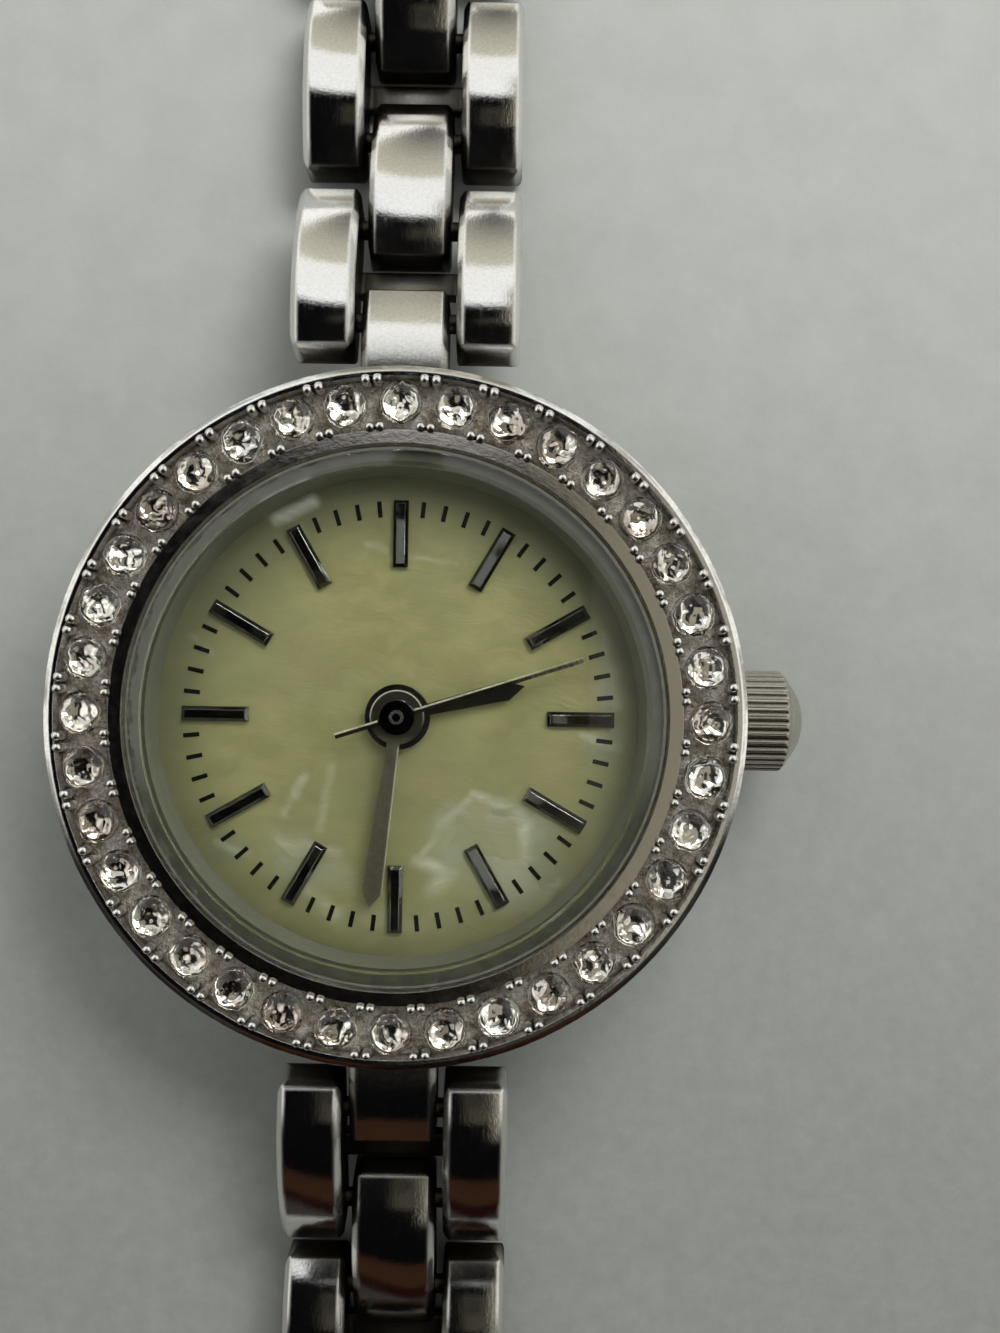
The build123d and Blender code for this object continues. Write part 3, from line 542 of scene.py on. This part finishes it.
def cut_stone(mesh, place):
    """Table, star and crown facets in glass over a shallow bowl of foil."""
    table, kites, girdle, belt, deep, mid = (
        [mesh.verts.new(place @ point) for point in ring_points(*row)] for row in STONE_ROWS
    )
    tip = mesh.verts.new(place @ Vector((0, 0, FOIL_TIP)))
    mesh.faces.new(table)
    for i in range(CUT):
        j = (i + 1) % CUT
        mesh.faces.new((table[j], table[i], kites[i]))
        mesh.faces.new((table[i], kites[i - 1], girdle[2 * i], kites[i]))
        mesh.faces.new((kites[i], girdle[2 * i], girdle[2 * i + 1]))
        mesh.faces.new((kites[i], girdle[2 * i + 1], girdle[(2 * i + 2) % (2 * CUT)]))
    for i in range(2 * CUT):
        j = (i + 1) % (2 * CUT)
        mesh.faces.new((girdle[i], belt[i], belt[j], girdle[j]))
        foil = [
            mesh.faces.new((belt[j], belt[i], deep[i], deep[j])),
            mesh.faces.new((deep[j], deep[i], mid[i], mid[j])),
            mesh.faces.new((mid[j], mid[i], tip)),
        ]
        for face in foil:
            face.material_index = 1
            face.smooth = True


def shadowless(net, shader):
    """Let lamps shine through, as they do through real glass."""
    clear = net.add("ShaderNodeBsdfTransparent", {"Color": (0.93, 0.94, 0.92)}).outputs[0]
    return net.either(net.ray("Is Shadow Ray"), shader, clear)


stone_glass, net = material("stone_cut_glass")
at = net.place()
glass = net.principled(
    Base_Color=net.mottled(net.noise(at, 0.8), (0.95, 0.935, 0.91), (1, 1, 0.99)),
    Roughness=net.span(net.noise(at, 3.0, 3, 0.6), 0.4, 0.75, 0.0, 0.08),
    IOR=1.52,
    Transmission_Weight=1.0,
    Normal=net.bump(net.noise(at, 2.2), 30 * MICRON),
)
net.finish(shadowless(net, glass))

stone_foil, net = material("stone_foil")
at = net.place()
patches = net.span(net.noise(at, 0.45), 0.4, 0.6)
tone = net.mix(patches, (0.82, 0.815, 0.77), (0.5, 0.45, 0.4))
dent = net.bump(net.noise(at, 1.5, 1), 200 * MICRON)
net.surface(tone, 0.08, dent, metallic=1.0)

dice = random.Random(36)
mesh = bmesh.new()
for index in range(STONE_COUNT):
    turn = Matrix.Rotation(-2 * math.pi * index / STONE_COUNT, 4, "Z")
    lean_angle = dice.uniform(-MOST_LEAN, MOST_LEAN)
    lean = Matrix.Rotation(lean_angle, 4, Vector((dice.uniform(-1, 1), 1, 0)).normalized())
    spin = Matrix.Rotation(dice.uniform(0, math.pi), 4, "Z")
    seat = Matrix.Translation((0, 0, STONE_GIRDLE))
    unseat = Matrix.Translation((0, 0, -STONE_GIRDLE))
    place = turn @ Matrix.Translation((0, STONE_CIRCLE, 0)) @ seat @ lean @ unseat @ spin
    cut_stone(mesh, Matrix.Scale(MM, 4) @ place)
bmesh.ops.recalc_face_normals(mesh, faces=mesh.faces)
data = bpy.data.meshes.new("cut_stones")
mesh.to_mesh(data)
mesh.free()
data.materials.append(stone_glass)
data.materials.append(stone_foil)
stones = bpy.data.objects.new("cut_stones", data)
scene.collection.objects.link(stones)
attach(stones, "case")
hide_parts("bezel_stones")


# Crystal, gasket and the ring below it

made, net = material("crystal")
at = net.place()
scratches = net.cells(net.scaled(at, (0.3, 1.4, 1)), "Distance", feature="DISTANCE_TO_EDGE")
glass = net.principled(
    Base_Color=net.mottled(net.noise(at, 0.3), (0.95, 0.975, 0.95), (0.97, 0.985, 0.965)),
    Roughness=net.times(net.span(scratches, 0.0, 0.006, 1.0, 0.0), 0.1),
    IOR=1.5,
    Transmission_Weight=1.0,
    Normal=net.bump(net.noise(at, 0.5), 4 * MICRON),
)
net.finish(shadowless(net, glass))
dress(made, "crystal")

made, net = material("pale_seal")
at = net.place()
tone = net.mottled(net.noise(at, 3, 3), (0.1, 0.104, 0.082), (0.15, 0.155, 0.125))
net.surface(tone, 0.45, net.bump(net.noise(at, 8, 3), 10 * MICRON))
dress(made, "crystal_gasket")

made, net = material("satin_ring")
lines = net.noise(net.scaled(net.place(), (2, 2, 18)), 1.0, 3, 0.6)
tone = net.mottled(lines, (0.13, 0.135, 0.1), (0.18, 0.186, 0.14))
net.surface(tone, 0.5, net.bump(lines, 10 * MICRON), metallic=0.3)
dress(made, "rehaut_ring")


# Dial: warm mother-of-pearl with white, faceted clouds, in millimetres from its centre

PEARL_DARK = (0.222, 0.209, 0.09)
PEARL_LIGHT = (0.284, 0.267, 0.122)
PEARL_GREEN = (0.196, 0.206, 0.1)
PEARL_WARM = (0.27, 0.225, 0.12)
PEARL_PAINTED_LOW_SHADE = (0.08, 0.085, 0.04)
CLOUD_TONES = (0.2, 0.22, 0.15), (0.3, 0.3, 0.22)
FOLD_TONE = (0.44, 0.44, 0.35)
SPOT_TONE = (0.42, 0.42, 0.36)
EDGE_PAINTED_SHADOW = (0.06, 0.063, 0.036)
SHADE_CENTRE = (0, -0.8, 0)

# Centre, half sizes, turn in degrees, softness, strength
CLOUDS = (
    ((3.6, -4.9), (2.9, 2.3), -15, 0.35, 1.0),
    ((7.6, -0.8), (1.5, 0.9), 5, 0.7, 1.6),
    ((7.7, 1.7), (0.8, 1.4), -12, 0.8, 1.1),
    ((-3.3, -5.3), (2.5, 1.5), -15, 0.95, 0.9),
    ((-6.0, -5.0), (1.2, 0.5), -25, 0.8, 0.8),
    ((0.3, -7.4), (3.6, 0.8), 0, 0.9, 0.5),
    ((-3.9, 7.45), (0.9, 0.36), 25, 0.6, 1.5),
)

# Start, end, width, strength
FOLDS = (
    ((2.8, -2.7), (1.5, -4.1), 0.24, 0.5),
    ((1.5, -4.1), (0.8, -5.2), 0.26, 0.5),
    ((0.8, -5.2), (1.8, -5.6), 0.38, 0.8),
    ((1.8, -5.6), (1.5, -6.2), 0.6, 0.6),
    ((2.8, -2.7), (4.2, -3.1), 0.34, 0.7),
    ((4.2, -3.1), (5.1, -4.2), 0.4, 0.5),
    ((4.75, -4.0), (4.75, -4.9), 0.45, 0.9),
    ((5.9, -5.8), (5.0, -6.9), 0.3, 0.5),
    ((-3.4, -2.1), (-4.1, -3.6), 0.3, 0.6),
    ((-2.4, -1.9), (-2.8, -4.0), 0.3, 0.35),
    ((-6.5, -4.7), (-5.4, -5.2), 0.22, 0.6),
    ((-4.2, -4.6), (-2.2, -4.9), 0.35, 0.45),
    ((-3.2, -6.3), (-2.3, -7.2), 0.5, 0.5),
    ((-7.7, 2.8), (-6.8, 2.2), 0.16, 0.6),
    ((-1.3, 6.1), (-0.5, 5.9), 0.25, 0.5),
    ((0.2, 5.8), (1.9, 5.6), 0.2, 0.4),
    ((7.4, 3.0), (7.9, 0.6), 0.3, 0.5),
    ((6.6, -0.5), (8.2, -1.0), 0.3, 0.6),
)
WHITE_SPOT = ((-4.5, 7.1), (-3.2, 7.75), 0.42, 0.9)

made, net = material("pearl")
x, y = net.parts(net.place())[:2]
flat = net.joined(x, y, 0)
warp = net.vector("SUBTRACT", net.noise(flat, 0.35, 3, output=1), (0.5, 0.5, 0.5))
bent = net.vector("ADD", flat, net.scaled(warp, (2.6, 2.6, 0)))
slightly_bent = net.vector("ADD", flat, net.scaled(warp, (1.0, 1.0, 0)))
sheets = net.noise(net.scaled(bent, (0.5, 0.9, 1)), 1.0, 4, 0.55)
flakes = net.parts(net.cells(net.scaled(bent, (0.42, 0.75, 1)), "Color"))
fibres = net.noise(net.scaled(bent, (1.2, 5.5, 1)), 1.0, 4, 0.6)


def cloud(centre, size, turn, softness, strength):
    """The strength inside an ellipse on the dial with a ragged edge, 0 outside."""
    shifted = net.vector("SUBTRACT", bent, (*centre, 0))
    inputs = {"Vector": shifted, "Angle": math.radians(-turn)}
    spun = net.add("ShaderNodeVectorRotate", inputs, rotation_type="Z_AXIS").outputs[0]
    reach = net.length(net.scaled(spun, (1 / size[0], 1 / size[1], 0)))
    return net.times(net.span(reach, 1 - softness, 1.05, 1.0, 0.0, smooth=True), strength)


def fold(start, end, width, strength):
    """A bright crease from one point on the dial to another."""
    line = (end[0] - start[0], end[1] - start[1], 0)
    length_squared = line[0] ** 2 + line[1] ** 2
    from_start = net.vector("SUBTRACT", slightly_bent, (*start, 0))
    along_share = net.vector("DOT_PRODUCT", from_start, line)
    share = net.math("DIVIDE", along_share, length_squared, clamp=True)
    along_line = net.scaled(net.joined(share, share, 0), line)
    off = net.length(net.vector("SUBTRACT", from_start, along_line))
    return net.span(off, 0.0, width, strength, 0.0, smooth=True)


base = net.mix(net.span(sheets, 0.32, 0.68, smooth=True), PEARL_DARK, PEARL_LIGHT)
green = net.span(net.noise(flat, 0.16), 0.4, 0.62, 0.0, 0.5, smooth=True)
base = net.mix(green, base, PEARL_GREEN)
warm = net.span(net.noise(flat, 0.24), 0.52, 0.66, 0.0, 0.3, smooth=True)
base = net.mix(warm, base, PEARL_WARM)
# Painted shade: the pearl darkens toward the bottom of the dial, as the window light falls off
base = net.mix(net.span(y, -8, 3, 0.3, 0.0), base, PEARL_PAINTED_LOW_SHADE)
veil = net.highest(cloud(*row) for row in CLOUDS)
veil = net.times(veil, net.span(flakes[0], 0.2, 0.8, 0.45, 1.0))
veil = net.times(veil, net.span(fibres, 0.25, 0.75, 0.7, 1.1), clamp=True)
tone = net.mix(veil, base, net.mix(net.span(flakes[1], 0.2, 0.8), *CLOUD_TONES))
creases = net.highest(fold(*row) for row in FOLDS)
creases = net.times(creases, net.span(fibres, 0.3, 0.7, 0.5, 1.1))
broken = net.span(net.noise(flat, 0.9), 0.36, 0.6, 0.3, 1.0)
tone = net.mix(net.times(creases, broken, clamp=True), tone, FOLD_TONE)
# Painted shadow: the pearl darkens toward its edge, most at the top, where the bezel and crystal
# ring cast shade
reach = net.length(net.vector("SUBTRACT", flat, SHADE_CENTRE))
tone = net.mix(net.span(reach, 5.9, 9.2, 0.0, 0.82, smooth=True), tone, EDGE_PAINTED_SHADOW)
spot = net.times(fold(*WHITE_SPOT), net.span(fibres, 0.3, 0.7, 0.6, 1.1), clamp=True)
tone = net.mix(spot, tone, SPOT_TONE)
shimmer = net.bump(net.plus(flakes[0], fibres), 30 * MICRON, 0.5)
net.surface(tone, 0.38, shimmer, Coat_Weight=0.6, Coat_Roughness=0.05)
dress(made, "dial")

made, net = material("black_print")
at = net.place()
tone = net.mottled(net.noise(at, 6, 3, 0.6), (0.002, 0.002, 0.002), (0.006, 0.006, 0.005))
relief = net.bump(net.noise(at, 14), 10 * MICRON)
net.surface(tone, 0.6, relief, Specular_IOR_Level=0.1)
dress(made, "minute_track")

# Hour batons: polished; those near 12 and 5 lean toward the light
MARKER_LIGHT = (0.27, 0.27, 0.26)
MARKER_DARK = (0.2, 0.2, 0.19)
MARKER_LEANING_PAINTED_SHADE = (0.12, 0.12, 0.112)

made, net = material("marker_polish")
at = net.place()
x, y = net.parts(at)[:2]
tilt = net.bump(net.noise(at, 0.4, 1), 300 * MICRON, 1.0, net.rounded(0.03 * MM))
above = net.math("GREATER_THAN", y, 4.2)
below = net.math("LESS_THAN", y, -4.2)
near_twelve = net.times(above, net.math("GREATER_THAN", x, -1.2))
near_five = net.times(below, net.math("COMPARE", x, 2.7, 1.5))
lean = net.plus(net.times(near_twelve, -0.16), net.times(near_five, -0.26))
tilt = net.bump(net.times(y, lean), 1.0 * MM, 1.0, tilt)
lines = net.noise(net.scaled(at, (8, 8, 8)), 1.0, 3, 0.6)
tone = net.mix(net.span(lines, 0.35, 0.65), MARKER_LIGHT, MARKER_DARK)
# Painted shade: the leaning batons near 12 and 5 are painted darker, dimming the light they catch
tone = net.mix(net.plus(near_twelve, near_five), tone, MARKER_LEANING_PAINTED_SHADE)
net.surface(tone, net.span(lines, 0.3, 0.7, 0.05, 0.1), tilt, metallic=1.0)
dress(made, "hour_markers")


# Hands

MINUTE_ANGLE = math.radians(187.2)
SECOND_ANGLE = math.radians(72)
HUB_RADIUS = 0.95
HUB_RING_PAINTED_SHADE = (0.07, 0.066, 0.05)
HUB_LIP_PAINTED_HIGHLIGHT = (1.0, 0.98, 0.88)
LIT_SIDE = (1.0, 0.98, 0.86)


def minute_details(net, at, tone):
    """A painted dark ring and a painted highlight on the hub's lip, and painted light on the right
    side of the blade.
    """
    x, y = net.parts(at)[:2]
    flat = net.joined(x, y, 0)
    off = net.absolute(net.minus(net.length(flat), HUB_RADIUS))
    ring = net.times(net.span(off, 0.5, 0.45), net.span(y, -1.05, -0.6))
    lip = net.times(net.span(off, 0.012, 0.03, 1.0, 0.0), net.span(y, -0.35, 0.25))
    tone = net.mix(ring, tone, HUB_RING_PAINTED_SHADE)
    tone = net.mix(lip, tone, HUB_LIP_PAINTED_HIGHLIGHT)
    line = (math.sin(MINUTE_ANGLE), math.cos(MINUTE_ANGLE), 0)
    down = net.vector("DOT_PRODUCT", flat, line)
    across = net.vector("DOT_PRODUCT", flat, (-line[1], line[0], 0))
    off = net.minus(across, net.times(down, 0.026))
    side = net.times(net.span(off, 0.13, 0.165), net.span(down, 1.0, 1.15))
    side = net.times(side, net.span(down, 3.5, 7.0, 0.85, 0.35))
    return net.mix(side, tone, LIT_SIDE)


def hand(name, node, tint, rough, details=None):
    made, net = material(name)
    at = net.place()
    lines = net.noise(at, 7, 3, 0.6)
    tone = net.mottled(lines, tint, tuple(channel * 0.8 for channel in tint))
    if details is not None:
        tone = details(net, at, tone)
    normal = net.bump(net.noise(at, 1.2, 1), 20 * MICRON, 1.0, net.rounded(0.03 * MM))
    net.surface(tone, net.span(lines, 0.3, 0.7, rough, rough * 1.6), normal, metallic=1.0)
    dress(made, node)


hand("hour_hand_black", "hour_hand", (0.2, 0.19, 0.17), 0.12)
hand("minute_hand_satin", "minute_hand", (0.27, 0.25, 0.18), 0.3, minute_details)

# Second hand: a disc of rings on the axis with its rim painted dark on the lower side, and a thin
# blade with a painted lit edge
DISC_STOPS = (
    (0.0, 0.012),
    (0.13, 0.012),
    (0.16, 0.8),
    (0.24, 0.75),
    (0.27, 0.014),
    (0.57, 0.014),
    (0.61, 0.3),
    (1.0, 0.3),
)
DISC_RIM_PAINTED_SHADE = (0.014, 0.014, 0.014)
BLADE_DARK = (0.03, 0.028, 0.02)
BLADE_LIGHT = (0.42, 0.4, 0.28)
BLADE_LINES = (0.06, 0.055, 0.04)
BLADE_EDGE_PAINTED_HIGHLIGHT = (0.5, 0.48, 0.36)

made, net = material("second_hand_bright")
at = net.place()
x, y = net.parts(at)[:2]
flat = net.joined(x, y, 0)
radius = net.length(flat)
disc_rim_painted_shade = net.times(net.span(radius, 0.5, 0.55), net.span(y, 0.35, -0.05))
disc = net.mix(disc_rim_painted_shade, net.ramp(radius, DISC_STOPS), DISC_RIM_PAINTED_SHADE)
left_of_blade = (-math.cos(SECOND_ANGLE), math.sin(SECOND_ANGLE), 0)
across = net.vector("DOT_PRODUCT", flat, left_of_blade)
uneven = net.span(net.noise(at, 5), 0.3, 0.6, 0.6, 1.0)
# Painted highlight: a bright, non-metal line along the blade's left edge
lit_edge = net.times(net.span(across, 0.02, 0.05), uneven)
lit_edge = net.times(lit_edge, net.span(radius, 0.66, 0.7))
lit_edge = net.times(lit_edge, net.span(radius, 4.6, 5.6, 1.0, 0.5))
blade = net.mix(net.span(radius, 4.2, 5.6), BLADE_DARK, BLADE_LIGHT)
blade = net.mottled(net.noise(at, 7, 3, 0.6), blade, BLADE_LINES)
tone = net.mix(net.span(radius, 0.63, 0.66), disc, blade)
tone = net.mix(lit_edge, tone, BLADE_EDGE_PAINTED_HIGHLIGHT)
normal = net.bump(net.noise(at, 1.2, 1), 20 * MICRON, 1.0, net.rounded(0.02 * MM))
roughness = net.span(radius, 0.6, 0.7, 0.14, 0.3)
net.surface(tone, roughness, normal, metallic=net.minus(1.0, lit_edge))
dress(made, "second_hand")


# Crown: satin, with painted shade in its flutes and a paler domed end

DOME_START = (14.3, 14.42)
CROWN_LIGHT = (0.62, 0.6, 0.54)
CROWN_DARK = (0.46, 0.44, 0.4)
FLUTE_PAINTED_SHADE = (0.05, 0.047, 0.04)
DOME_TONE = (0.58, 0.56, 0.5)

made, net = material("crown_satin")
at = net.place()
lines = net.noise(net.scaled(at, (3, 26, 26)), 1.0, 4, 0.65)
dome = net.span(net.parts(at)[0], *DOME_START)
tone = net.mottled(lines, CROWN_LIGHT, CROWN_DARK)
# Painted shade: the flutes darken where their sides stand close
tone = net.mix(net.span(net.open_share(0.3 * MM), 0.45, 0.9, 0.9, 0.0), tone, FLUTE_PAINTED_SHADE)
tone = net.mix(dome, tone, DOME_TONE)
normal = net.bump(lines, 4 * MICRON, 1.0, net.rounded(0.05 * MM))
roughness = net.plus(net.span(lines, 0.3, 0.7, 0.12, 0.2), net.times(dome, 0.1))
net.surface(tone, roughness, normal, metallic=1.0)
dress(made, "crown")


# Seals and the works inside the case


def plain(name, low, high, rough, metallic, grain, *names):
    made, net = material(name)
    mottle = net.noise(net.place(), grain, 4, 0.6)
    tone = net.mottled(mottle, low, high)
    normal = net.bump(mottle, 10 * MICRON, 1.0, net.rounded(0.04 * MM))
    net.surface(tone, net.span(mottle, 0.3, 0.7, rough, rough + 0.15), normal, metallic)
    dress(made, *names)


PLAIN = (
    ("seal_rubber", (0.015, 0.015, 0.015), (0.04, 0.04, 0.04), 0.5, 0.0, 5,
     "case_back_gasket", "crown_gasket"),
    ("works_brass", (0.6, 0.46, 0.2), (0.75, 0.6, 0.32), 0.28, 1.0, 4, "movement_plate"),
    ("works_steel", (0.55, 0.55, 0.54), (0.68, 0.68, 0.66), 0.25, 1.0, 6,
     "movement_cover", "winding_stem", "setting_lever"),
    ("holder_plastic", (0.74, 0.74, 0.7), (0.82, 0.82, 0.79), 0.4, 0.0, 3, "movement_holder"),
    ("battery_steel", (0.62, 0.62, 0.62), (0.74, 0.74, 0.73), 0.22, 1.0, 5, "battery"),
)
for row in PLAIN:
    plain(*row)

made, net = material("coil_copper")
wire = net.noise(net.scaled(net.place(), (18, 4, 4)), 1.0, 3)
tone = net.mottled(wire, (0.5, 0.2, 0.08), (0.72, 0.36, 0.17))
net.surface(tone, 0.3, net.bump(wire, 20 * MICRON), metallic=0.8)
dress(made, "coil")
